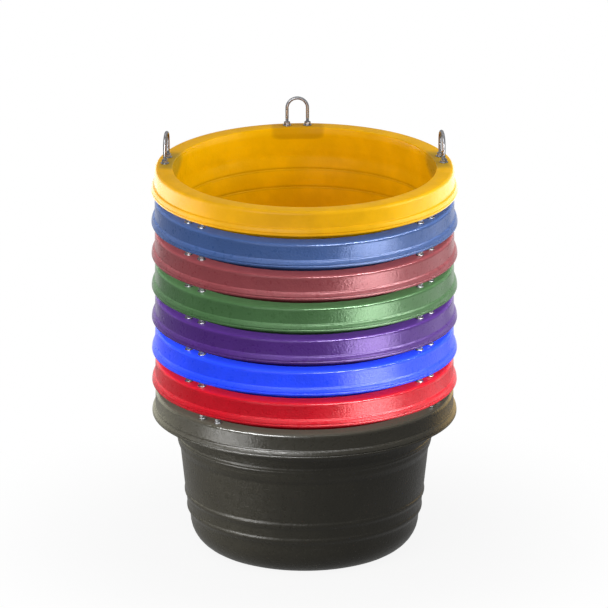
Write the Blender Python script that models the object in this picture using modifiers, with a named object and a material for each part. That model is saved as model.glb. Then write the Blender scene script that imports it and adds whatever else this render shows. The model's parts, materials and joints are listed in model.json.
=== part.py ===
"""A nested stack of round feed tubs, each with U-bolt hanging loops on its rim.

Metres, +Z up. The origin is the centre of the bottom tub's base. Every tub is the
same moulding; only its colour and the way it is turned in the stack differ.
"""

import math
from typing import NamedTuple

import bmesh
import bpy
from mathutils import Matrix

# One tub
TUB_HEIGHT = 0.238  # base to flange top
MOUTH_RADIUS = 0.191  # inner edge of the flange
WALL = 0.0032  # thickness of wall, floor, flange and rim
BAND_RADIUS = 0.2168  # upright band under the flange
LIP_RADIUS = 0.2215  # flared lip, the widest place
RIM_DEPTH = 0.035  # flange top to the lip's underside
LIP_HEIGHT = 0.006  # upright part of the lip
FLARE_RISE = 0.0055  # sloping part between band and lip
SHOULDER = 0.0036  # rounding between flange and band
CORNER_RADIUS = 0.045  # between wall and base, on the outside
BASE_RADIUS = 0.1215  # flat part of the base
CORNER_STEPS = 3
TUB_SIDES = 24

# Outer radius of the wall at a height, at the top and foot of each step, from the top down
RIM_STEP = ((0.195, 0.1906), (0.189, 0.1880))
UPPER_STEP = ((0.160, 0.1847), (0.150, 0.1808))
MIDDLE_STEP = ((0.085, 0.1750), (0.077, 0.1722))
LOWER_STEP = ((0.060, 0.1712), (0.052, 0.1680))

# Nesting
PITCH = 0.048  # rise from one tub to the next in the stack
REST_GAP = 0.0003  # left between pieces that touch

# U-bolts, nuts and washers
BOLT_CIRCLE = 0.202  # radius on which the U-bolts stand
LEG_SPACING = 0.030  # centre to centre
WIRE_RADIUS = 0.0024
LOOP_HEIGHT = PITCH - WALL - REST_GAP  # the flange above rests on the loops
ARCH_STEPS = 6
HOLE_RADIUS = 0.0032  # leg holes in the flange
HOLE_SIDES = 6
NUT_RADIUS = 0.008 / math.sqrt(3)  # over the corners of a nut 8 mm across its flats
NUT_SIDES = 6
TOP_NUT_HEIGHT = 0.004
BOTTOM_NUT_HEIGHT = 0.0032
LEG_TAIL = 0.0004  # leg below the bottom nut
WASHER_RADIUS = 0.0062
WASHER_HEIGHT = 0.0012
WASHER_SIDES = 8

# Heights of the fasteners from the flange's top
WASHER_BASE = REST_GAP
TOP_NUT_BASE = WASHER_BASE + WASHER_HEIGHT + REST_GAP
BOTTOM_NUT_BASE = -WALL - REST_GAP - BOTTOM_NUT_HEIGHT

MERGE = 0.00001
SHARP_ANGLE = 35.0  # degrees

# Where the U-bolts stand, in degrees from +X: the front of the stack is at 270. The bottom
# tub and the top one are turned in the stack, and the rest stand alike
BOTTOM_PLACES = {"left": 228.0, "right": 339.0, "rear": 93.0}
LOWER_PLACES = {"left": 219.0, "right": 329.0, "rear": 93.0}
TOP_PLACES = {"left": 171.5, "right": 10.0, "rear": 93.0}

PLASTIC_ROUGHNESS = 0.42
ZINC = (0.72, 0.73, 0.74)
ZINC_ROUGHNESS = 0.3


class Tub(NamedTuple):
    colour: str
    rgb: tuple
    places: dict
    loose_fasteners: bool = False


# From the bottom up. The top tub's nuts and washers are pieces of their own; on the
# tubs below, which hide theirs, they are one solid with the U-bolt that they hold
STACK = (
    Tub("black", (0.022, 0.021, 0.018), BOTTOM_PLACES),
    Tub("red", (0.51, 0.02, 0.035), LOWER_PLACES),
    Tub("blue", (0.017, 0.08, 0.95), LOWER_PLACES),
    Tub("purple", (0.12, 0.06, 0.29), LOWER_PLACES),
    Tub("green", (0.12, 0.21, 0.115), LOWER_PLACES),
    Tub("maroon", (0.30, 0.105, 0.107), LOWER_PLACES),
    Tub("slate", (0.13, 0.19, 0.39), LOWER_PLACES),
    Tub("yellow", (0.78, 0.42, 0.002), TOP_PLACES, loose_fasteners=True),
)


def clear_scene():
    for item in list(bpy.data.objects):
        bpy.data.objects.remove(item, do_unlink=True)


def new_collection(name):
    group = bpy.data.collections.new(name)
    bpy.context.scene.collection.children.link(group)
    return group


def material(name, colour, roughness, metallic=0.0):
    paint = bpy.data.materials.new(name)
    paint.use_nodes = True
    shader = paint.node_tree.nodes["Principled BSDF"]
    shader.inputs["Base Color"].default_value = (*colour, 1.0)
    shader.inputs["Roughness"].default_value = roughness
    shader.inputs["Metallic"].default_value = metallic
    return paint


def add_object(name, data, group, parent=None):
    item = bpy.data.objects.new(name, data)
    group.objects.link(item)
    item.parent = parent
    return item


def corner_arc(radius):
    """Points from the wall round to the flat base, on an arc of the given radius."""
    points = []
    for step in range(CORNER_STEPS + 1):
        turn = math.radians(90) * step / CORNER_STEPS
        points.append((BASE_RADIUS + radius * math.cos(turn), CORNER_RADIUS - radius * math.sin(turn)))
    return points


def rim_outline():
    """Flange, band and flared lip, then back up the hollow underside."""
    lip_base = TUB_HEIGHT - RIM_DEPTH
    flare_top = lip_base + LIP_HEIGHT + FLARE_RISE
    under_flange = TUB_HEIGHT - WALL
    return [
        (MOUTH_RADIUS, TUB_HEIGHT),
        (BAND_RADIUS - SHOULDER, TUB_HEIGHT),
        (BAND_RADIUS, TUB_HEIGHT - SHOULDER),
        (BAND_RADIUS, flare_top),
        (LIP_RADIUS, lip_base + LIP_HEIGHT),
        (LIP_RADIUS, lip_base),
        (LIP_RADIUS - WALL, lip_base),
        (BAND_RADIUS - WALL, flare_top - WALL / 2),
        (BAND_RADIUS - WALL, under_flange),
        (MOUTH_RADIUS + WALL, under_flange),
    ]


def tub_outline():
    """Half section: from the floor's centre up the inside, over the rim, down the outside."""
    inner_corner = corner_arc(CORNER_RADIUS - WALL)
    inside = [(0.0, WALL)] + inner_corner[::-1]
    inner_steps = RIM_STEP + UPPER_STEP + MIDDLE_STEP[:1]
    for height, radius in inner_steps[::-1]:
        inside.append((radius - WALL, height))
    outside = []
    for height, radius in RIM_STEP + UPPER_STEP + MIDDLE_STEP + LOWER_STEP:
        outside.append((radius, height))
    return inside + rim_outline() + outside + corner_arc(CORNER_RADIUS) + [(0.0, 0.0)]


def profile_mesh(name, outline):
    mesh = bpy.data.meshes.new(name)
    points = [(radius, 0.0, height) for radius, height in outline]
    edges = [(index, index + 1) for index in range(len(points) - 1)]
    mesh.from_pydata(points, edges, [])
    return mesh


def turn_profile(item, sides):
    screw = item.modifiers.new("turned", "SCREW")
    screw.axis = "Z"
    screw.angle = math.tau
    screw.steps = sides
    screw.render_steps = sides
    screw.use_merge_vertices = True
    screw.merge_threshold = MERGE
    screw.use_smooth_shade = True


def leg_places(places):
    """Centre and direction of each of the six legs on a tub's flange."""
    legs = []
    for degrees in places.values():
        turn = math.radians(degrees)
        for side in (-LEG_SPACING / 2, LEG_SPACING / 2):
            x = BOLT_CIRCLE * math.cos(turn) - side * math.sin(turn)
            y = BOLT_CIRCLE * math.sin(turn) + side * math.cos(turn)
            legs.append((x, y, turn))
    return legs


def leg_hole_cutter(name, places, group, parent):
    mesh = bpy.data.meshes.new(name)
    body = bmesh.new()
    for x, y, turn in leg_places(places):
        made = bmesh.ops.create_cone(
            body,
            cap_ends=True,
            segments=HOLE_SIDES,
            radius1=HOLE_RADIUS,
            radius2=HOLE_RADIUS,
            depth=4 * WALL,
        )
        bmesh.ops.translate(body, verts=made["verts"], vec=(x, y, TUB_HEIGHT - WALL / 2))
    body.to_mesh(mesh)
    body.free()
    cutter = add_object(name, mesh, group, parent)
    cutter.hide_render = True
    cutter.display_type = "WIRE"
    return cutter


def make_shell(name, places, paint, parts, cutters, parent):
    shell = add_object(name, profile_mesh(name, tub_outline()), parts, parent)
    shell.data.materials.append(paint)
    turn_profile(shell, TUB_SIDES)
    cut = shell.modifiers.new("leg_holes", "BOOLEAN")
    cut.operation = "DIFFERENCE"
    cut.object = leg_hole_cutter(name + "_leg_holes", places, cutters, parent)


def wire_mesh():
    """A bent wire in its own YZ plane, with the flange's top at height zero."""
    half = LEG_SPACING / 2
    arch_centre = LOOP_HEIGHT - WIRE_RADIUS - half
    foot = BOTTOM_NUT_BASE - LEG_TAIL
    points = [(0.0, half, foot)]
    for step in range(ARCH_STEPS + 1):
        turn = math.pi * step / ARCH_STEPS
        points.append((0.0, half * math.cos(turn), arch_centre + half * math.sin(turn)))
    points.append((0.0, -half, foot))
    curve = bpy.data.curves.new("wire", "CURVE")
    curve.dimensions = "3D"
    curve.bevel_depth = WIRE_RADIUS
    curve.bevel_resolution = 1
    curve.use_fill_caps = True
    wire = curve.splines.new("POLY")
    wire.points.add(len(points) - 1)
    for point, place in zip(wire.points, points):
        point.co = (*place, 1.0)
    guide = add_object("wire_guide", curve, bpy.context.scene.collection)
    mesh = mesh_of(guide)
    bpy.data.objects.remove(guide, do_unlink=True)
    weld(mesh)
    return mesh


def mesh_of(item):
    """The object's mesh with its modifiers applied."""
    bpy.context.view_layer.update()
    graph = bpy.context.evaluated_depsgraph_get()
    return bpy.data.meshes.new_from_object(item.evaluated_get(graph))


def weld(mesh):
    body = bmesh.new()
    body.from_mesh(mesh)
    bmesh.ops.remove_doubles(body, verts=body.verts[:], dist=MERGE)
    body.to_mesh(mesh)
    body.free()


def prism_mesh(name, base, height, radius, sides, centres):
    """Upright prisms on one plane, each with a corner pointing along +X."""
    mesh = bpy.data.meshes.new(name)
    body = bmesh.new()
    for x, y in centres:
        made = bmesh.ops.create_cone(
            body, cap_ends=True, segments=sides, radius1=radius, radius2=radius, depth=height
        )
        spin = Matrix.Rotation(math.radians(90), 3, "Z")
        bmesh.ops.rotate(body, verts=made["verts"], matrix=spin, cent=(0.0, 0.0, 0.0))
        bmesh.ops.translate(body, verts=made["verts"], vec=(x, y, base + height / 2))
    body.to_mesh(mesh)
    body.free()
    return mesh


def joined_u_bolt_mesh(wire):
    """The wire with its nuts and washers run up tight, as one solid."""
    centres = [(0.0, LEG_SPACING / 2), (0.0, -LEG_SPACING / 2)]
    sink = REST_GAP
    holder = bpy.context.scene.collection
    joined = add_object("joined_u_bolt", wire.copy(), holder)
    helpers = []
    for name, base, height, radius, sides in (
        ("washers", WASHER_BASE, WASHER_HEIGHT + sink, WASHER_RADIUS, WASHER_SIDES),
        ("top_nuts", TOP_NUT_BASE - sink, TOP_NUT_HEIGHT + sink, NUT_RADIUS, NUT_SIDES),
        ("bottom_nuts", BOTTOM_NUT_BASE, BOTTOM_NUT_HEIGHT, NUT_RADIUS, NUT_SIDES),
    ):
        mesh = prism_mesh(name, base, height, radius, sides, centres)
        helper = add_object("joined_" + name, mesh, holder)
        helpers.append(helper)
        union = joined.modifiers.new(name, "BOOLEAN")
        union.operation = "UNION"
        union.object = helper
    mesh = mesh_of(joined)
    mesh.name = "joined_u_bolt"
    for item in helpers + [joined]:
        bpy.data.objects.remove(item, do_unlink=True)
    return mesh


def ring_mesh(name, base, height, radius, sides):
    """A prism with a bore of the same number of sides, for one leg."""
    bore = (WIRE_RADIUS + REST_GAP) / math.cos(math.pi / sides)
    section = [(bore, base), (bore, base + height), (radius, base + height), (radius, base)]
    mesh = bpy.data.meshes.new(name)
    body = bmesh.new()
    corners = [body.verts.new((reach, 0.0, level)) for reach, level in section]
    edges = [body.edges.new((corners[index - 1], corners[index])) for index in range(4)]
    bmesh.ops.spin(
        body,
        geom=corners + edges,
        cent=(0.0, 0.0, 0.0),
        axis=(0.0, 0.0, 1.0),
        angle=math.tau,
        steps=sides,
    )
    bmesh.ops.remove_doubles(body, verts=body.verts[:], dist=MERGE)
    bmesh.ops.recalc_face_normals(body, faces=body.faces[:])
    body.to_mesh(mesh)
    body.free()
    return mesh


def fastener_meshes(zinc):
    """Meshes shared by the stack's hardware, each with the flange's top at height zero."""
    wire = wire_mesh()
    meshes = {
        "wire": wire,
        "joined": joined_u_bolt_mesh(wire),
        "washer": ring_mesh("washer", WASHER_BASE, WASHER_HEIGHT, WASHER_RADIUS, WASHER_SIDES),
        "top_nut": ring_mesh("top_nut", TOP_NUT_BASE, TOP_NUT_HEIGHT, NUT_RADIUS, NUT_SIDES),
        "bottom_nut": ring_mesh(
            "bottom_nut", BOTTOM_NUT_BASE, BOTTOM_NUT_HEIGHT, NUT_RADIUS, NUT_SIDES
        ),
    }
    for mesh in meshes.values():
        mesh.materials.clear()
        mesh.materials.append(zinc)
        mesh.shade_smooth()
        mesh.set_sharp_from_angle(angle=math.radians(SHARP_ANGLE))
    return meshes


def place_on_flange(item, x, y, turn):
    item.location = (x, y, TUB_HEIGHT)
    item.rotation_euler.z = turn


def make_u_bolt(name, mesh, degrees, group, parent):
    turn = math.radians(degrees)
    bolt = add_object(name, mesh, group, parent)
    place_on_flange(bolt, BOLT_CIRCLE * math.cos(turn), BOLT_CIRCLE * math.sin(turn), turn)


def make_leg_fasteners(colour, places, meshes, group, parent):
    """A washer and two nuts on each leg, as pieces of their own."""
    for place, degrees in places.items():
        for number, (x, y, turn) in enumerate(leg_places({place: degrees}), 1):
            for kind in ("washer", "top_nut", "bottom_nut"):
                name = f"{colour}_{place}_{kind}_{number}"
                item = add_object(name, meshes[kind], group, parent)
                place_on_flange(item, x, y, turn)


def make_tub(tub, meshes, groups, below):
    """One tub with its hardware, on an empty that stands on the lift axis."""
    parts, cutters = groups
    axis = add_object(tub.colour + "_axis", None, parts, below)
    if below is not None:
        axis.location.z = PITCH
    plastic = material(tub.colour + "_plastic", tub.rgb, PLASTIC_ROUGHNESS)
    make_shell(tub.colour + "_tub", tub.places, plastic, parts, cutters, axis)
    wire = meshes["wire"] if tub.loose_fasteners else meshes["joined"]
    for place, degrees in tub.places.items():
        make_u_bolt(f"{tub.colour}_u_bolt_{place}", wire, degrees, parts, axis)
    if tub.loose_fasteners:
        make_leg_fasteners(tub.colour, tub.places, meshes, parts, axis)
    return axis


def main():
    clear_scene()
    groups = (new_collection("feed_tub_stack"), new_collection("cutters"))
    zinc = material("zinc_steel", ZINC, ZINC_ROUGHNESS, 1.0)
    meshes = fastener_meshes(zinc)
    axis = None
    for tub in STACK:
        axis = make_tub(tub, meshes, groups, axis)


main()
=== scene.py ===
"""Models and finishes a nested stack of round feed tubs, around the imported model's frame.

Moulded plastic shells, bent-wire U-bolts with threaded feet, hex nuts and washers, and a
plain studio. Sizes are in metres. The centre of the bottom tub's base is the origin.
"""

import json
import math
from typing import NamedTuple

import bmesh
import bpy
from bpy.props import FloatProperty, FloatVectorProperty, IntProperty, PointerProperty
from mathutils import Matrix, Vector

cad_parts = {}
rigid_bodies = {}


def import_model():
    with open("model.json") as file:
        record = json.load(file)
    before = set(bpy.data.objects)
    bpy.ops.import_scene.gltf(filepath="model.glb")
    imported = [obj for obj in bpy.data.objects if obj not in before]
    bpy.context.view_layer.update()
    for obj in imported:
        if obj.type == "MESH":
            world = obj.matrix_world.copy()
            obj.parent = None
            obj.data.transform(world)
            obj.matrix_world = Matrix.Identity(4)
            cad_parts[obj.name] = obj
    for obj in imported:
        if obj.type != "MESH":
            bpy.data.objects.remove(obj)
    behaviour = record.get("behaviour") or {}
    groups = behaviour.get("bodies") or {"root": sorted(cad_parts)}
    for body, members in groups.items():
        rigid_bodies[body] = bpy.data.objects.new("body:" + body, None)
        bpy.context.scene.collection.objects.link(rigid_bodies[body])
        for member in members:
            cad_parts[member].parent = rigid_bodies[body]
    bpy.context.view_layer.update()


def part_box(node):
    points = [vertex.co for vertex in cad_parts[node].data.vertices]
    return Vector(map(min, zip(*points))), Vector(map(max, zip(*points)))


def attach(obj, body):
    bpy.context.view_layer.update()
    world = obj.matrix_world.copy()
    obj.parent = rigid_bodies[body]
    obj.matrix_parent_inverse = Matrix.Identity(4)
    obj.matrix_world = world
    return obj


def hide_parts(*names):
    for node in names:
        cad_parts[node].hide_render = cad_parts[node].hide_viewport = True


bl_info = {
    "name": "Feed Tub Stack",
    "version": (1, 0, 0),
    "blender": (4, 5, 0),
    "location": "View3D > Sidebar > Feed Tubs",
    "description": "Models and finishes a nested stack of round feed tubs",
    "category": "Add Mesh",
}

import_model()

# From the bottom of the stack up
COLOURS = ("black", "red", "blue", "purple", "green", "maroon", "slate", "yellow")
TOP_COLOUR = COLOURS[-1]
BOTTOM_COLOUR = COLOURS[0]
PLACES = ("left", "right", "rear")
FASTENERS = ("washer", "top_nut", "bottom_nut")

MM = 0.001
MERGE = 0.00001


def tub_base(colour):
    """Height of a tub's base in the stack."""
    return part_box(colour + "_tub")[0].z


def bolt_centre(colour, place):
    """Middle of a U-bolt, seen from above."""
    low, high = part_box(f"{colour}_u_bolt_{place}")
    return (low + high) / 2


TUB_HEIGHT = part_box(BOTTOM_COLOUR + "_tub")[1].z
LIP_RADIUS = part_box(BOTTOM_COLOUR + "_tub")[1].x
# Ends of a U-bolt, from the flange's top
LOOP_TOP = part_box(TOP_COLOUR + "_u_bolt_rear")[1].z - tub_base(TOP_COLOUR) - TUB_HEIGHT
LEG_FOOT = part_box(TOP_COLOUR + "_u_bolt_rear")[0].z - tub_base(TOP_COLOUR) - TUB_HEIGHT


def length(name, description, default):
    """A size that a user may change."""
    return FloatProperty(
        name=name, description=description, default=default, min=0.0, subtype="DISTANCE", unit="LENGTH"
    )


def paint(name, default):
    """A tub's colour that a user may change."""
    return FloatVectorProperty(
        name=name, description=f"Plastic of the {name.lower()} tub", default=default,
        size=3, min=0.0, max=1.0, subtype="COLOR",
    )


class ShellSettings(bpy.types.PropertyGroup):
    mouth_radius: length("Mouth radius", "Inner edge of the flange", 191.0 * MM)
    wall: length("Wall", "Thickness of the moulding", 3.2 * MM)
    band_radius: length("Band radius", "Upright band under the flange", 216.8 * MM)
    rim_depth: length("Rim depth", "Flange top to the lip's underside", 35.0 * MM)
    shoulder: length("Shoulder", "Rounding between flange and band", 5.2 * MM)
    corner_radius: length("Corner radius", "Between wall and base, on the outside", 45.0 * MM)
    base_radius: length("Base radius", "Flat part of the base", 121.5 * MM)
    hole_radius: length("Leg hole radius", "Holes in the flange for the U-bolts", 3.2 * MM)
    sides: IntProperty(name="Sides", description="Steps round a shell", default=160, min=24)


class HardwareSettings(bpy.types.PropertyGroup):
    wire_radius: length("Wire radius", "Half the U-bolt wire's thickness", 2.4 * MM)
    leg_spacing: length("Leg spacing", "Between the centres of a U-bolt's legs", 30.0 * MM)
    thread_pitch: length("Thread pitch", "Rise of one turn of thread", 0.8 * MM)
    thread_depth: length("Thread depth", "Crest to root", 0.3 * MM)
    thread_top: length("Thread top", "End of the thread above the flange", 11.0 * MM)
    nut_flats: length("Nut", "Across the flats", 8.0 * MM)
    washer_radius: length("Washer radius", "Outer edge of a washer", 6.2 * MM)
    fit: length("Fit", "Room between the wire and a bore round it", 0.3 * MM)


class FinishSettings(bpy.types.PropertyGroup):
    black: paint("Black", (0.022, 0.020, 0.014))
    red: paint("Red", (0.440, 0.003, 0.012))
    blue: paint("Blue", (0.014, 0.055, 0.860))
    purple: paint("Purple", (0.050, 0.014, 0.135))
    green: paint("Green", (0.038, 0.095, 0.034))
    maroon: paint("Maroon", (0.176, 0.036, 0.042))
    slate: paint("Slate", (0.034, 0.070, 0.190))
    yellow: paint("Yellow", (0.760, 0.360, 0.000))
    roughness: FloatProperty(
        name="Roughness", description="Of the plastic, before its smears", default=0.30,
        min=0.0, max=1.0, subtype="FACTOR",
    )
    gloss: FloatProperty(
        name="Gloss", description="Strength of the plastic's reflection", default=0.3,
        min=0.0, max=1.0, subtype="FACTOR",
    )


class StudioSettings(bpy.types.PropertyGroup):
    camera_tilt: FloatProperty(
        name="Camera tilt", description="Angle of the view above the horizon",
        default=math.radians(18.3), subtype="ANGLE", unit="ROTATION",
    )
    camera_reach: length("Camera distance", "From the camera to the middle of the view", 14.0)
    view_height: length("View height", "Middle of the view above the floor", 0.365)
    view_width: length("View width", "Width of the view at the stack", 0.8824)
    ambient: FloatProperty(name="Ambient", description="Level light from all round", default=0.36)
    reflected: FloatProperty(
        name="Reflected white", description="Backdrop as glossy surfaces see it", default=0.38
    )


def start_afresh():
    """Object mode with nothing selected."""
    if bpy.context.object and bpy.context.object.mode != "OBJECT":
        bpy.ops.object.mode_set(mode="OBJECT")
    bpy.ops.object.select_all(action="DESELECT")


def make_active(item):
    start_afresh()
    item.select_set(True)
    bpy.context.view_layer.objects.active = item


def select_places(item, places):
    """Selects the edited mesh's vertices at these places."""
    body = bmesh.from_edit_mesh(item.data)
    for vertex in body.verts:
        vertex.select = any((vertex.co - place).length < MERGE for place in places)
    body.select_flush(True)
    bmesh.update_edit_mesh(item.data)


def draw_profile(name, corners):
    """A chain of edges in the XZ plane through (radius, height, rounding) corners."""
    start_afresh()
    bpy.ops.mesh.primitive_plane_add(size=MM)
    profile = bpy.context.object
    profile.name = name
    bpy.ops.object.mode_set(mode="EDIT")
    bpy.ops.mesh.merge(type="CENTER")
    places = [Vector((radius, 0.0, height)) for radius, height, _ in corners]
    bpy.ops.transform.translate(value=places[0])
    for here, there in zip(places, places[1:]):
        bpy.ops.mesh.extrude_region_move(TRANSFORM_OT_translate={"value": there - here})
    for rounding in sorted({corner[2] for corner in corners} - {0.0}):
        chosen = [place for place, corner in zip(places, corners) if corner[2] == rounding]
        select_places(profile, chosen)
        # A rounding under a millimetre needs fewer steps
        steps = 2 if rounding < 1.0 * MM else 5
        bpy.ops.mesh.bevel(offset=rounding, segments=steps, affect="VERTICES")
    return profile


def turn(name, corners, sides):
    """The solid that a profile sweeps in a full turn about Z."""
    turned = draw_profile(name, corners)
    bpy.ops.mesh.select_all(action="SELECT")
    bpy.ops.mesh.spin(steps=sides, angle=math.tau, center=(0, 0, 0), axis=(0, 0, 1))
    bpy.ops.mesh.select_all(action="SELECT")
    bpy.ops.mesh.remove_doubles(threshold=MERGE)
    bpy.ops.mesh.normals_make_consistent(inside=False)
    bpy.ops.object.mode_set(mode="OBJECT")
    return turned


def smooth(item, degrees):
    """Shades smooth, but keeps the edges that bend more than this."""
    make_active(item)
    bpy.ops.object.shade_smooth_by_angle(angle=math.radians(degrees))


def carve(item, tool, operation="DIFFERENCE"):
    """Applies a Boolean and removes its tool."""
    make_active(item)
    cut = item.modifiers.new("carved", "BOOLEAN")
    cut.operation = operation
    cut.object = tool
    bpy.ops.object.modifier_apply(modifier=cut.name)
    bpy.data.objects.remove(tool, do_unlink=True)


def copy_of(item, name, place=Matrix.Identity(4)):
    """A copy with its own mesh, moved there inside the mesh."""
    twin = bpy.data.objects.new(name, item.data.copy())
    twin.data.name = name
    twin.data.transform(place)
    bpy.context.scene.collection.objects.link(twin)
    return twin


def join_copies(name, items_and_places):
    """One object of several copies."""
    copies = [copy_of(item, name, place) for item, place in items_and_places]
    start_afresh()
    for item in copies:
        item.select_set(True)
    bpy.context.view_layer.objects.active = copies[0]
    bpy.ops.object.join()
    return bpy.context.object


def dress(item, body, slot, finish, *nodes):
    """Gives a piece its finish, sets it on its CAD body and hides what it stands for."""
    item.data.materials.clear()
    item.data.materials.append(finish)
    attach(item, body)
    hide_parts(*nodes)


# The tub's half section: corners by distance from the axis, height over the base and rounding

CORNER_STEPS = 10
HOLE_SIDES = 24
DRILL_LENGTH = 12.0 * MM


def floor_corner(shell, inset):
    """The arc between floor and wall, from the floor outwards."""
    points = []
    reach = shell.corner_radius - inset
    for step in range(CORNER_STEPS + 1):
        angle = math.radians(90.0) * step / CORNER_STEPS
        radius = shell.base_radius + reach * math.sin(angle)
        points.append((radius, shell.corner_radius - reach * math.cos(angle), 0.0))
    return points


def in_metres(corners):
    """The walls' corners are written in millimetres."""
    return [(radius * MM, height * MM, rounding * MM) for radius, height, rounding in corners]


def inner_wall():
    """Up the inside: the steps of the wall, smoothed, as far as the mouth."""
    return in_metres([
        (168.7, 76.0, 3.0),
        (171.2, 85.0, 3.0),
        (177.3, 150.2, 0.4),
        (178.4, 151.2, 0.3),
        (178.2, 153.0, 0.4),
        (181.6, 176.6, 0.4),
        (182.7, 177.6, 0.3),
        (182.5, 179.4, 0.4),
        (186.9, 196.0, 3.0),
        (188.7, 228.5, 2.0),
    ])


def outer_wall():
    """Down the outside: ridges that stand proud, each above a step inwards."""
    return in_metres([
        (190.0, 197.5, 0.9),
        (190.9, 194.6, 0.9),
        (190.7, 192.2, 1.2),
        (188.0, 188.0, 1.2),
        (186.5, 176.0, 0.6),
        (187.3, 173.6, 0.6),
        (186.5, 171.2, 0.4),
        (187.0, 169.4, 0.6),
        (185.3, 165.8, 0.9),
        (184.7, 160.0, 2.0),
        (180.8, 150.0, 2.0),
        (174.1, 88.5, 1.0),
        (175.1, 85.4, 1.0),
        (174.9, 82.0, 1.5),
        (172.2, 77.0, 1.5),
        (170.9, 64.0, 1.0),
        (171.7, 61.0, 1.0),
        (171.4, 58.0, 1.5),
        (168.2, 52.5, 1.2),
    ])


def rim(shell):
    """Over the flange, down the band, round the flared lip and back up inside it."""
    lip_foot = TUB_HEIGHT - shell.rim_depth
    under_flange = TUB_HEIGHT - shell.wall
    band = shell.band_radius
    skirt = band - shell.wall
    lip = LIP_RADIUS
    return [
        (shell.mouth_radius, TUB_HEIGHT, 1.3 * MM),
        (band, TUB_HEIGHT, shell.shoulder),
        (band, lip_foot + 11.2 * MM, 0.5 * MM),
        (band + 2.6 * MM, lip_foot + 9.8 * MM, 0.5 * MM),
        (lip - 0.4 * MM, lip_foot + 5.6 * MM, 1.2 * MM),
        (lip - 0.3 * MM, lip_foot + 4.4 * MM, 0.3 * MM),
        (lip - 1.2 * MM, lip_foot + 3.6 * MM, 0.3 * MM),
        (lip, lip_foot + 2.8 * MM, 0.4 * MM),
        (lip, lip_foot, 0.9 * MM),
        (lip - shell.wall, lip_foot, 0.8 * MM),
        (skirt, lip_foot + 9.5 * MM, 1.8 * MM),
        (skirt, under_flange, 2.4 * MM),
        (shell.mouth_radius + shell.wall, under_flange, 2.8 * MM),
    ]


def foot_ring(shell):
    """The base stands on a low ring round a shallow recess."""
    edge = shell.base_radius - 3.0 * MM
    recess = 1.1 * MM
    return [
        (edge, 0.0, 0.3 * MM),
        (edge - 1.5 * MM, recess, 0.3 * MM),
        (0.0, recess, 0.0),
    ]


def tub_section(shell):
    """The closed half section, from the floor's centre round to the base's centre."""
    inside = [(0.0, shell.wall, 0.0)] + floor_corner(shell, shell.wall) + inner_wall()
    outside = outer_wall() + floor_corner(shell, 0.0)[::-1] + foot_ring(shell)
    return inside + rim(shell) + outside


def leg_places(colour, spacing):
    """Where a tub's six legs come through its flange."""
    legs = []
    for place in PLACES:
        centre = bolt_centre(colour, place)
        outwards = Vector((centre.x, centre.y, 0.0)).normalized()
        along = Vector((-outwards.y, outwards.x, 0.0))
        legs.extend(centre.xy.to_3d() + along * side * spacing / 2 for side in (-1, 1))
    return legs


def drill(item, places, radius):
    """Cuts the leg holes through a flange."""
    drills = []
    for place in places:
        start_afresh()
        bpy.ops.mesh.primitive_cylinder_add(
            vertices=HOLE_SIDES, radius=radius, depth=DRILL_LENGTH,
            location=(place.x, place.y, TUB_HEIGHT),
        )
        drills.append(bpy.context.object)
    start_afresh()
    for thing in drills:
        thing.select_set(True)
    bpy.context.view_layer.objects.active = drills[0]
    bpy.ops.object.join()
    bpy.ops.object.transform_apply()
    carve(item, drills[0])


class FEEDTUB_OT_shells(bpy.types.Operator):
    """Turn, drill and colour the eight tub shells"""

    bl_idname = "feedtub.shells"
    bl_label = "Tub Shells"

    def execute(self, context):
        shell = context.scene.feed_tub_shell
        spacing = context.scene.feed_tub_hardware.leg_spacing
        pattern = turn("shell_pattern", tub_section(shell), shell.sides)
        for colour in COLOURS:
            item = copy_of(pattern, colour + "_shell")
            drill(item, leg_places(colour, spacing), shell.hole_radius)
            smooth(item, 38.0)
            item.data.transform(Matrix.Translation((0.0, 0.0, tub_base(colour))))
            finish = plastic(colour, getattr(context.scene.feed_tub_finish, colour))
            dress(item, colour, colour + "_plastic", finish, colour + "_tub")
        bpy.data.objects.remove(pattern, do_unlink=True)
        return {"FINISHED"}


# Hardware: each piece is modelled with the flange's top at height zero

WIRE_SIDES = 16
BEND_STEPS = 28
BORE_SIDES = 48
WASHER_SIDES = 40
CHAMFER_SLOPE = 0.6


def wire_pattern(hardware):
    """The bend and its straight legs down to where the thread begins."""
    half = hardware.leg_spacing / 2
    bend = LOOP_TOP - hardware.wire_radius - half
    start_afresh()
    bpy.ops.mesh.primitive_circle_add(
        vertices=WIRE_SIDES, radius=hardware.wire_radius, location=(0.0, half, hardware.thread_top)
    )
    wire = bpy.context.object
    wire.name = "wire_pattern"
    bpy.ops.object.transform_apply()
    bpy.ops.object.mode_set(mode="EDIT")
    bpy.ops.mesh.select_all(action="SELECT")
    rise = (0.0, 0.0, bend - hardware.thread_top)
    bpy.ops.mesh.extrude_region_move(TRANSFORM_OT_translate={"value": rise})
    bpy.ops.mesh.spin(steps=BEND_STEPS, angle=math.pi, center=(0.0, 0.0, bend), axis=(-1.0, 0.0, 0.0))
    drop = (0.0, 0.0, hardware.thread_top - bend)
    bpy.ops.mesh.extrude_region_move(TRANSFORM_OT_translate={"value": drop})
    bpy.ops.mesh.select_all(action="SELECT")
    bpy.ops.mesh.remove_doubles(threshold=MERGE)
    bpy.ops.mesh.select_all(action="DESELECT")
    bpy.ops.mesh.select_mode(type="EDGE")
    bpy.ops.mesh.select_non_manifold()
    bpy.ops.mesh.fill_holes(sides=0)
    bpy.ops.mesh.select_mode(type="VERT")
    bpy.ops.mesh.select_all(action="SELECT")
    bpy.ops.mesh.normals_make_consistent(inside=False)
    bpy.ops.object.mode_set(mode="OBJECT")
    return wire


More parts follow.
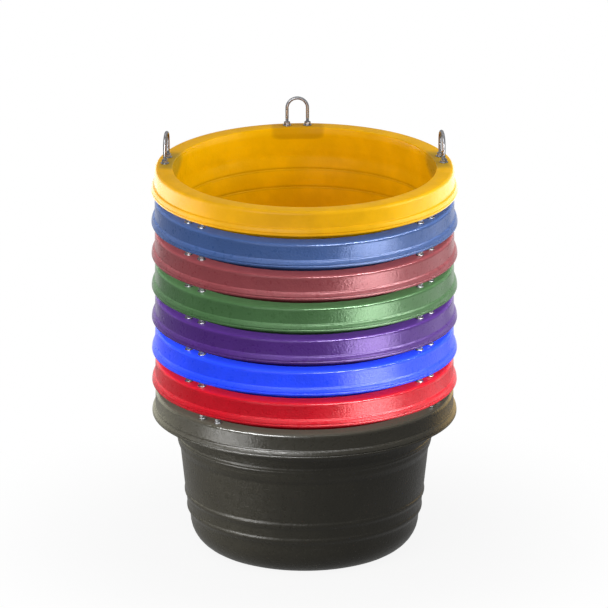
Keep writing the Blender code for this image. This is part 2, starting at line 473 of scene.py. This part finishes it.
def thread_pattern(hardware):
    """The threaded foot of a leg, with a crest and a root in each pitch."""
    crest = hardware.wire_radius
    root = crest - hardware.thread_depth
    turns = int((hardware.thread_top - LEG_FOOT) / hardware.thread_pitch)
    corners = [(0.0, LEG_FOOT, 0.0), (root, LEG_FOOT, 0.0)]
    for number in range(turns):
        base = LEG_FOOT + (number + 0.5) * hardware.thread_pitch
        corners.append((crest, base, 0.0))
        corners.append((root, base + hardware.thread_pitch / 2, 0.0))
    corners += [(crest, hardware.thread_top, 0.0), (0.0, hardware.thread_top, 0.0)]
    return turn("thread_pattern", corners, WIRE_SIDES)


def nut_pattern(name, hardware, base, top):
    """A hex nut whose corners are turned off top and bottom, with its bore."""
    height = top - base
    corner = hardware.nut_flats / math.sqrt(3)
    start_afresh()
    bpy.ops.mesh.primitive_cylinder_add(
        vertices=6, radius=corner, depth=height, location=(0.0, 0.0, base + height / 2)
    )
    nut = bpy.context.object
    nut.name = name
    bpy.ops.object.transform_apply()
    chamfer = corner - hardware.nut_flats / 2
    bore = hardware.wire_radius + hardware.fit
    blank = turn("blank", [
        (bore, base, 0.0),
        (corner - chamfer, base, 0.0),
        (corner + MERGE, base + chamfer * CHAMFER_SLOPE, 0.0),
        (corner + MERGE, top - chamfer * CHAMFER_SLOPE, 0.0),
        (corner - chamfer, top, 0.0),
        (bore, top, 0.0),
        (bore, base, 0.0),
    ], BORE_SIDES)
    carve(nut, blank, "INTERSECT")
    return nut


def washer_pattern(hardware, base, top):
    """A flat ring whose outer top edge is rounded the most."""
    bore = hardware.wire_radius + hardware.fit
    return turn("washer_pattern", [
        (bore, base, 0.0),
        (hardware.washer_radius, base, 0.2 * MM),
        (hardware.washer_radius, top, 0.35 * MM),
        (bore, top, 0.2 * MM),
        (bore, base, 0.0),
    ], WASHER_SIDES)


def hardware_patterns(hardware):
    """Each kind of piece once, where it lies on a leg at the axis."""
    flange = tub_base(TOP_COLOUR) + TUB_HEIGHT
    reach = {
        kind: [corner.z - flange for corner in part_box(f"{TOP_COLOUR}_rear_{kind}_1")]
        for kind in FASTENERS
    }
    made = {
        "wire": wire_pattern(hardware),
        "thread": thread_pattern(hardware),
        "washer": washer_pattern(hardware, *reach["washer"]),
        "top_nut": nut_pattern("top_nut_pattern", hardware, *reach["top_nut"]),
        "bottom_nut": nut_pattern("bottom_nut_pattern", hardware, *reach["bottom_nut"]),
    }
    for item in made.values():
        smooth(item, 32.0)
    return made


def bolt_and_legs(colour, place, spacing):
    """Where a U-bolt's pattern goes, and where those of its two legs go."""
    centre = bolt_centre(colour, place)
    stand = Matrix.Translation((centre.x, centre.y, tub_base(colour) + TUB_HEIGHT))
    stand @= Matrix.Rotation(math.atan2(centre.y, centre.x), 4, "Z")
    return stand, [stand @ Matrix.Translation((0.0, side * spacing / 2, 0.0)) for side in (-1, 1)]


def loose_fasteners(colour, place, legs, made, zinc):
    """The washers and nuts of the top tub, each a piece of its own."""
    for kind in FASTENERS:
        for number, leg in enumerate(legs, 1):
            name = f"{colour}_{place}_{kind}"
            item = copy_of(made[kind], f"{name}_made_{number}", leg)
            dress(item, colour, "zinc_steel", zinc, f"{name}_{number}")


class FEEDTUB_OT_hardware(bpy.types.Operator):
    """Bend the U-bolts and run their nuts and washers up to the flanges"""

    bl_idname = "feedtub.hardware"
    bl_label = "U-bolts, Nuts and Washers"

    def execute(self, context):
        hardware = context.scene.feed_tub_hardware
        made = hardware_patterns(hardware)
        zinc = zinc_plate()
        for colour in COLOURS:
            for place in PLACES:
                stand, legs = bolt_and_legs(colour, place, hardware.leg_spacing)
                parts = [(made["wire"], stand)] + [(made["thread"], leg) for leg in legs]
                if colour != TOP_COLOUR:
                    parts += [(made[kind], leg) for kind in FASTENERS for leg in legs]
                bolt = join_copies(f"{colour}_bent_bolt_{place}", parts)
                dress(bolt, colour, "zinc_steel", zinc, f"{colour}_u_bolt_{place}")
                if colour == TOP_COLOUR:
                    loose_fasteners(colour, place, legs, made, zinc)
        for item in made.values():
            bpy.data.objects.remove(item, do_unlink=True)
        return {"FINISHED"}


# Finishes

# Heights over the base of the wall's two sharp seams, which are darkened with painted shade
SHADED_SEAM_HEIGHTS = (151.6 * MM, 178.0 * MM)
# Painted shade round the top tub's U-bolts: place, half width, depth, how square the outline is, and tone
BOLT_SHADE_PATCHES = (
    ("left", 42.0 * MM, 26.0 * MM, 2.0, (0.27, 0.175, 0.020, 1.0)),
    ("right", 42.0 * MM, 30.0 * MM, 2.0, (0.27, 0.165, 0.015, 1.0)),
    ("rear", 39.0 * MM, 17.5 * MM, 5.0, (0.46, 0.205, 0.002, 1.0)),
)


class Value:
    """A socket that is reckoned with as a number: each sign adds its Math node."""

    def __init__(self, graph, socket):
        self.graph = graph
        self.socket = socket

    def __add__(self, other):
        return self.graph.math("ADD", self, other)

    def __radd__(self, other):
        return self.graph.math("ADD", other, self)

    def __sub__(self, other):
        return self.graph.math("SUBTRACT", self, other)

    def __rsub__(self, other):
        return self.graph.math("SUBTRACT", other, self)

    def __mul__(self, other):
        return self.graph.math("MULTIPLY", self, other)

    def __rmul__(self, other):
        return self.graph.math("MULTIPLY", other, self)

    def __truediv__(self, other):
        return self.graph.math("DIVIDE", self, other)


class Graph:
    """The nodes of one material or world."""

    def __init__(self, tree):
        self.tree = tree
        self.shader = tree.nodes.get("Principled BSDF")
        self.places = self.node("ShaderNodeTexCoord", output="Object")

    def node(self, kind, settings=None, sockets=None, output=0):
        """Adds a node, its settings first, and gives one of its outputs."""
        made = self.tree.nodes.new(kind)
        for key, value in (settings or {}).items():
            setattr(made, key, value)
        for key, value in (sockets or {}).items():
            if isinstance(value, Value):
                self.tree.links.new(value.socket, made.inputs[key])
            else:
                made.inputs[key].default_value = value
        return Value(self, made.outputs[output])

    def math(self, operation, *numbers):
        return self.node("ShaderNodeMath", {"operation": operation}, dict(enumerate(numbers)))

    def noise(self, scale, detail, roughness, vector=None):
        sockets = {"Scale": scale, "Detail": detail, "Roughness": roughness}
        sockets["Vector"] = vector or self.places
        return self.node("ShaderNodeTexNoise", None, sockets, "Fac")

    def band(self, value, low, high, first=0.0, last=1.0):
        """Runs smoothly from first to last as the value goes from low to high."""
        return self.node(
            "ShaderNodeMapRange", {"interpolation_type": "SMOOTHSTEP"},
            {"Value": value, "From Min": low, "From Max": high, "To Min": first, "To Max": last},
        )

    def blend(self, factor, first, second):
        """A colour between two others."""
        return self.node(
            "ShaderNodeMix", {"data_type": "RGBA"}, {"Factor": factor, 6: first, 7: second}, 2
        )

    def distance(self, value, other):
        return self.math("ABSOLUTE", value - other)

    def axes(self):
        """The X, Y and Z of the shaded point."""
        split = self.node("ShaderNodeSeparateXYZ", None, {"Vector": self.places})
        return [Value(self, output) for output in split.socket.node.outputs]

    def from_axis(self):
        """How far the shaded point is from the stack's axis."""
        x, y, _ = self.axes()
        return self.math("SQRT", x * x + y * y)

    def feed(self, name, value):
        """Links or sets one of the shader's sockets."""
        if isinstance(value, Value):
            self.tree.links.new(value.socket, self.shader.inputs[name])
        else:
            self.shader.inputs[name].default_value = value

    def bump(self, height, strength, distance):
        return self.node(
            "ShaderNodeBump", None, {"Height": height, "Strength": strength, "Distance": distance}
        )


def new_material(name):
    """A material and the graph of its nodes."""
    material = bpy.data.materials.new(name)
    material.use_nodes = True
    return material, Graph(material.node_tree)


def solid(colour, scale=1.0):
    """A colour, lighter or darker by a scale, with the fourth number that its socket takes."""
    return (colour[0] * scale, colour[1] * scale, colour[2] * scale, 1.0)


def paint_shade_round_bolts(graph, tone, x, y, level):
    """Painted shade round the top tub's U-bolts and on the wall under them."""
    for place, half, depth, squareness, shade_tone in BOLT_SHADE_PATCHES:
        centre = bolt_centre(TOP_COLOUR, place)
        angle = math.atan2(centre.y, centre.x)
        outwards = x * math.cos(angle) + y * math.sin(angle)
        along = graph.distance(y * math.cos(angle), x * math.sin(angle)) / half
        down = graph.math("MAXIMUM", TUB_HEIGHT - level, 0.0)
        reach = graph.math("POWER", along, squareness) + graph.math("POWER", down / depth, squareness)
        same_side = graph.band(outwards, 100.0 * MM, 120.0 * MM)
        off_shoulder = graph.band(outwards, 205.0 * MM, 212.0 * MM, 1.0, 0.0)
        shade_mask = graph.band(reach, 0.35, 1.3, 0.7, 0.0) * same_side * off_shoulder
        tone = graph.blend(shade_mask, tone, shade_tone)
    return tone


def streaks(graph, round_the_wall, scale, first, last):
    """Thin lines that run along or down the wall."""
    stretched = graph.node("ShaderNodeMapping", None, {"Vector": round_the_wall, "Scale": scale})
    return graph.band(graph.noise(1.0, 2.0, 0.5, stretched), first, last)


def scratch_marks(graph, x, y, level, base):
    """Faint scratches along and down the wall, in other places on each tub."""
    unrolled = {"X": graph.math("ARCTAN2", y, x) * LIP_RADIUS, "Y": level, "Z": base * 70.0}
    round_the_wall = graph.node("ShaderNodeCombineXYZ", None, unrolled)
    along = streaks(graph, round_the_wall, (26.0, 900.0, 1.0), 0.64, 0.74)
    down = streaks(graph, round_the_wall, (1100.0, 30.0, 1.0), 0.66, 0.76)
    return along + down


def set_gloss(graph, colour, rgb, flange):
    """A soft coat of shine outside a dull top tub, and a hint of hue in the middle tubs' shine."""
    if colour == TOP_COLOUR:
        outside = graph.band(graph.from_axis(), 212.0 * MM, 215.0 * MM) * (1.0 - flange)
        graph.feed("Specular IOR Level", 0.06)
        graph.feed("Coat Weight", outside * 0.3)
        graph.feed("Coat Roughness", 0.34)
    else:
        graph.feed("Specular IOR Level", bpy.context.scene.feed_tub_finish.gloss)
    if colour not in (TOP_COLOUR, BOTTOM_COLOUR):
        strongest = max(rgb)
        graph.feed("Specular Tint", solid([0.5 + 0.5 * part / strongest for part in rgb]))


def plastic(colour, rgb):
    """Moulded plastic with smears and faint scratches, rubbed smooth on the rim's shoulder.

    The flange is matt, and on the lower tubs it is painted lighter: painted light in the gap under the tub
    above.
    """
    scene = bpy.context.scene
    material, graph = new_material(colour + "_moulded_plastic")
    base = tub_base(colour)
    lip_foot = TUB_HEIGHT - scene.feed_tub_shell.rim_depth
    x, y, z = graph.axes()
    level = z - base
    flange = graph.band(level, TUB_HEIGHT - 0.9 * MM, TUB_HEIGHT - 0.2 * MM)
    rubbed = graph.band(level, TUB_HEIGHT - 4.6 * MM, TUB_HEIGHT - 3.4 * MM)
    lip = graph.band(level, lip_foot - 1.5 * MM, lip_foot + 0.5 * MM)
    lip = lip * graph.band(level, lip_foot + 4.5 * MM, lip_foot + 5.5 * MM, 1.0, 0.0)
    clouds = graph.noise(22.0, 3.0, 0.6)
    smears = graph.noise(120.0, 3.0, 0.55)
    peel = graph.noise(310.0, 1.0, 0.5)
    grain = graph.noise(1300.0, 2.0, 0.6)
    scratches = scratch_marks(graph, x, y, level, base) * graph.band(clouds, 0.42, 0.62)
    scratches = scratches * (1.0 - flange)

    tone = graph.blend(graph.band(clouds, 0.35, 0.7), solid(rgb, 0.93), solid(rgb, 1.06))
    tone = graph.blend(scratches * 0.2, tone, solid([0.75 * part + 0.09 for part in rgb]))
    for height in SHADED_SEAM_HEIGHTS:
        # Painted shade along each seam
        seam_shade = graph.band(graph.distance(level, height), 1.0 * MM, 4.2 * MM, 1.0, 0.0)
        tone = graph.blend(seam_shade * 0.25, tone, solid(rgb, 0.35))
    # Painted shade round the top tub's U-bolts
    if colour == TOP_COLOUR:
        tone = paint_shade_round_bolts(graph, tone, x, y, level)
    else:
        # Painted light: the lower tubs' flanges, shaded under the tub above, are made lighter
        painted_flange_light = graph.band(level, TUB_HEIGHT - 3.0 * MM, TUB_HEIGHT - 0.6 * MM)
        tone = graph.blend(painted_flange_light, tone, solid([1.9 * part + 0.008 for part in rgb]))
    graph.feed("Base Color", tone)

    smoothest = scene.feed_tub_finish.roughness - 0.12
    graph.feed("Roughness", smoothest + smears * 0.24 - rubbed * 0.12 + flange * 0.25)
    relief = peel * 0.8 + smears * 0.5 + grain * (0.08 + lip * 0.5) - scratches * 0.05
    graph.feed("Normal", graph.bump(relief, 0.3 if colour == TOP_COLOUR else 0.6, 0.8 * MM))
    set_gloss(graph, colour, rgb, flange)
    return material


def zinc_plate():
    """Bright zinc plating on drawn wire, a little dull and streaked."""
    material, graph = new_material("bright_zinc_plate")
    clouds = graph.noise(420.0, 3.0, 0.6)
    grain = graph.noise(3000.0, 2.0, 0.6)
    tone = graph.blend(
        graph.band(clouds, 0.35, 0.7), (0.22, 0.225, 0.24, 1.0), (0.46, 0.46, 0.47, 1.0)
    )
    graph.feed("Base Color", tone)
    graph.feed("Metallic", 0.9)
    graph.feed("Roughness", 0.12 + clouds * 0.2)
    graph.feed("Normal", graph.bump(grain, 0.2, 0.1 * MM))
    return material


# Studio

FLOOR_RADIUS = 60.0
VIEW_MIDDLE_X = -0.7 * MM
WHITE = (1.0, 1.0, 1.0)
LIME = (0.8, 1.0, 0.5)
CREAM = (1.0, 0.97, 0.72)
PALE_CREAM = (1.0, 0.98, 0.85)
AMBER = (1.0, 0.66, 0.2)


def seen_directly(graph, reflected):
    """Whole for camera and transmission rays, part for glossy ones, nought for falling light."""
    rays = graph.node("ShaderNodeLightPath", output="Is Camera Ray")
    outputs = rays.socket.node.outputs
    glossy = Value(graph, outputs["Is Glossy Ray"])
    through = Value(graph, outputs["Is Transmission Ray"])
    return graph.math("MINIMUM", rays + glossy * reflected + through, 1.0)


def stage_floor(studio):
    """A white floor that fades to plain white away from the stack and keeps its shadow."""
    start_afresh()
    bpy.ops.mesh.primitive_circle_add(vertices=96, radius=FLOOR_RADIUS, fill_type="NGON")
    floor = bpy.context.object
    floor.name = "floor"
    material, graph = new_material("floor_white")
    graph.feed("Base Color", solid(WHITE, 0.82))
    graph.feed("Roughness", 0.9)
    graph.feed("Specular IOR Level", 0.0)
    white = graph.node(
        "ShaderNodeEmission", None,
        {"Color": solid(WHITE), "Strength": seen_directly(graph, studio.reflected)},
    )
    # A tenth of the lit floor shows through by the stack, which makes a faint shadow
    whiteness = graph.band(graph.from_axis(), 0.2, 0.6, 0.90, 1.0)
    lit = Value(graph, graph.shader.outputs[0])
    seen = seen_directly(graph, 1.0)
    mixed = graph.node("ShaderNodeMixShader", None, {0: seen * whiteness, 1: lit, 2: white})
    out = graph.tree.nodes["Material Output"]
    graph.tree.links.new(mixed.socket, out.inputs["Surface"])
    floor.data.materials.append(material)


def stage_world(studio):
    """White to the camera, and a level light on the stack."""
    world = bpy.data.worlds.new("studio_white")
    world.use_nodes = True
    bpy.context.scene.world = world
    graph = Graph(world.node_tree)
    level = graph.band(seen_directly(graph, studio.reflected), 0.0, 1.0, studio.ambient, 1.0)
    background = world.node_tree.nodes["Background"]
    background.inputs["Color"].default_value = solid(WHITE)
    world.node_tree.links.new(level.socket, background.inputs["Strength"])


class Softbox(NamedTuple):
    """An area light that faces the stack. Azimuth 0 is at the camera's side, 90 at its right."""

    name: str
    azimuth: float
    height: float
    distance: float
    size: tuple
    glow: float
    aimed_at: float
    lights: str = "all"
    glossy: bool = True
    diffuse: bool = True
    tint: tuple = WHITE
    shaded_by: str = "all"


# The tubs look lit one by one, so most lamps light only some of them
LAMPS = (
    Softbox("overhead", 180.0, 2.2, 0.3, (1.8, 1.8), 0.3, 0.5),
    Softbox("front_fill", -24.0, 1.9, 2.8, (2.6, 2.0), 2.8, 0.35),
    Softbox("gap_light", 0.0, 3.2, 0.25, (2.4, 2.4), 9.5, 0.35, "lower", shaded_by="bottom"),
    Softbox("top_light", 180.0, 2.4, 0.1, (1.2, 1.2), 0.3, 0.6, "top"),
    Softbox("left_wall", 80.0, 0.98, 1.15, (0.8, 0.8), 7.6, 0.57, "top", tint=LIME),
    Softbox("right_wall", -78.0, 0.98, 1.15, (0.8, 0.8), 1.8, 0.57, "top", tint=LIME),
    Softbox("left_panel", -98.0, 0.42, 1.0, (0.9, 0.8), 3.0, 0.42, "top"),
    Softbox("right_panel", 98.0, 0.42, 1.0, (0.9, 0.8), 1.7, 0.42, "top"),
    Softbox("left_glow", -132.0, 0.28, 1.0, (1.0, 0.8), 2.8, 0.28, "top", diffuse=False),
    Softbox("right_glow", 132.0, 0.28, 1.0, (1.0, 0.8), 2.8, 0.28, "top", diffuse=False),
    Softbox("right_softbox", 46.0, 0.27, 0.86, (0.5, 0.54), 23.0, 0.27, "middle", diffuse=False),
    Softbox("right_sheen", 98.0, 0.2, 1.1, (1.1, 0.6), 1.8, 0.2, "middle", diffuse=False),
    Softbox("shoulder_line", 34.0, 1.95, 1.3, (1.4, 0.5), 60.0, 0.4, "middle", diffuse=False),
    Softbox("shoulder_end", 80.0, 1.95, 1.3, (1.4, 0.5), 62.0, 0.4, "middle", diffuse=False),
    Softbox("left_rim", -153.0, 0.2, 1.1, (0.6, 0.8), 0.7, 0.2, "middle", diffuse=False),
    Softbox("right_rim", 153.0, 0.2, 1.1, (0.6, 0.8), 0.8, 0.2, "middle", diffuse=False),
    Softbox("left_softbox", -52.0, 0.12, 0.86, (0.5, 0.26), 11.0, 0.12, "bottom", diffuse=False),
    Softbox("left_shoulder", -44.0, 1.4, 1.3, (1.4, 0.5), 60.0, 0.24, "bottom", diffuse=False),
    Softbox("left_warm", -132.0, 0.2, 1.0, (1.0, 0.8), 1.5, 0.2, "bottom", diffuse=False, tint=CREAM),
    Softbox("left_soft", -72.0, 0.2, 1.0, (1.0, 0.8), 0.9, 0.2, "bottom", diffuse=False, tint=PALE_CREAM),
    Softbox("right_warm", 136.0, 0.2, 1.0, (1.0, 0.8), 1.7, 0.2, "bottom", diffuse=False, tint=AMBER),
    Softbox("left_body", -85.0, 0.2, 1.6, (1.2, 0.9), 16.0, 0.2, "bottom", glossy=False),
    Softbox("right_key", 82.0, 0.7, 1.9, (1.3, 1.3), 7.4, 0.3, "middle", glossy=False),
    Softbox("left_key", -136.0, 0.7, 1.9, (1.3, 1.3), 8.4, 0.3, "middle", glossy=False),
    Softbox("fastener_glint", 0.0, 0.9, 1.6, (2.6, 1.2), 8.0, 0.4, "fasteners", diffuse=False),
    Softbox("loop_glint", 0.0, 0.1, 1.6, (2.4, 0.7), 9.0, 0.1, "loops", diffuse=False, shaded_by="bottom"),
)


def pieces_of(name, colours, kind=""):
    """A collection of the pieces of these tubs, for a lamp that lights only them."""
    chosen = bpy.data.collections.new(name)
    for item in bpy.context.scene.objects:
        if item.type == "MESH" and item.name.split("_")[0] in colours and kind in item.name:
            chosen.objects.link(item)
    return chosen


def lit_groups():
    """What the lamps light or are shaded by, by name."""
    groups = {
        "all": None,
        "middle": pieces_of("lit_middle", COLOURS[1:-1]),
        "bottom": pieces_of("lit_bottom", (BOTTOM_COLOUR,)),
        "top": pieces_of("lit_top", (TOP_COLOUR,), "shell"),
        "lower": pieces_of("lit_lower", COLOURS[:-1]),
        "fasteners": pieces_of("lit_fasteners", COLOURS[:-1], "bolt"),
        "loops": pieces_of("lit_loops", (TOP_COLOUR,), "_made"),
    }
    for place in PLACES:
        groups["loops"].objects.link(bpy.data.objects[f"{TOP_COLOUR}_bent_bolt_{place}"])
    return groups


def stage_lamps():
    """Sets up the lamps, each linked to what it lights and to what shades it."""
    groups = lit_groups()
    for box in LAMPS:
        angle = math.radians(box.azimuth)
        place = Vector((math.sin(angle) * box.distance, -math.cos(angle) * box.distance, box.height))
        start_afresh()
        bpy.ops.object.light_add(type="AREA", location=place)
        lamp = bpy.context.object
        lamp.name = box.name
        lamp.data.shape = "RECTANGLE"
        lamp.data.size, lamp.data.size_y = box.size
        lamp.data.energy = box.glow * math.pi * box.size[0] * box.size[1]
        lamp.data.color = box.tint
        away = place - Vector((0.0, 0.0, box.aimed_at))
        lamp.rotation_euler = away.to_track_quat("Z", "Y").to_euler()
        lamp.light_linking.receiver_collection = groups[box.lights]
        lamp.light_linking.blocker_collection = groups[box.shaded_by]
        lamp.visible_camera = False
        lamp.visible_glossy = box.glossy
        lamp.visible_diffuse = box.diffuse


def stage_camera(studio):
    """A long lens in front of the stack, looking slightly down on it."""
    target = Vector((VIEW_MIDDLE_X, 0.0, studio.view_height))
    back = Vector((0.0, -math.cos(studio.camera_tilt), math.sin(studio.camera_tilt)))
    start_afresh()
    bpy.ops.object.camera_add(location=target + back * studio.camera_reach)
    camera = bpy.context.object
    camera.rotation_euler = back.to_track_quat("Z", "Y").to_euler()
    camera.data.lens = camera.data.sensor_width * studio.camera_reach / studio.view_width
    camera.data.clip_end = 200.0
    bpy.context.scene.camera = camera


class FEEDTUB_OT_studio(bpy.types.Operator):
    """Set the floor, the plain white world, the soft lights and the camera"""

    bl_idname = "feedtub.studio"
    bl_label = "Studio"

    def execute(self, context):
        studio = context.scene.feed_tub_studio
        stage_floor(studio)
        stage_world(studio)
        stage_lamps()
        stage_camera(studio)
        context.scene.view_settings.view_transform = "Standard"
        return {"FINISHED"}


class FEEDTUB_PT_stack(bpy.types.Panel):
    """Lists the steps that make the stack"""

    bl_idname = "FEEDTUB_PT_stack"
    bl_label = "Feed Tub Stack"
    bl_space_type = "VIEW_3D"
    bl_region_type = "UI"
    bl_category = "Feed Tubs"

    def draw(self, context):
        for step in STEPS:
            self.layout.operator(step.bl_idname)
        for group in GROUPS:
            part = getattr(context.scene, group)
            column = self.layout.column(align=True)
            for name in part.bl_rna.properties.keys():
                if name not in ("rna_type", "name"):
                    column.prop(part, name)


STEPS = (FEEDTUB_OT_shells, FEEDTUB_OT_hardware, FEEDTUB_OT_studio)
GROUPS = {
    "feed_tub_shell": ShellSettings,
    "feed_tub_hardware": HardwareSettings,
    "feed_tub_finish": FinishSettings,
    "feed_tub_studio": StudioSettings,
}


def register():
    for kind in GROUPS.values():
        bpy.utils.register_class(kind)
    for name, kind in GROUPS.items():
        setattr(bpy.types.Scene, name, PointerProperty(type=kind))
    for kind in STEPS + (FEEDTUB_PT_stack,):
        bpy.utils.register_class(kind)


def unregister():
    for kind in (FEEDTUB_PT_stack,) + STEPS[::-1]:
        bpy.utils.unregister_class(kind)
    for name, kind in GROUPS.items():
        delattr(bpy.types.Scene, name)
        bpy.utils.unregister_class(kind)


def main():
    register()
    bpy.ops.feedtub.shells()
    bpy.ops.feedtub.hardware()
    bpy.ops.feedtub.studio()


if __name__ == "__main__":
    main()
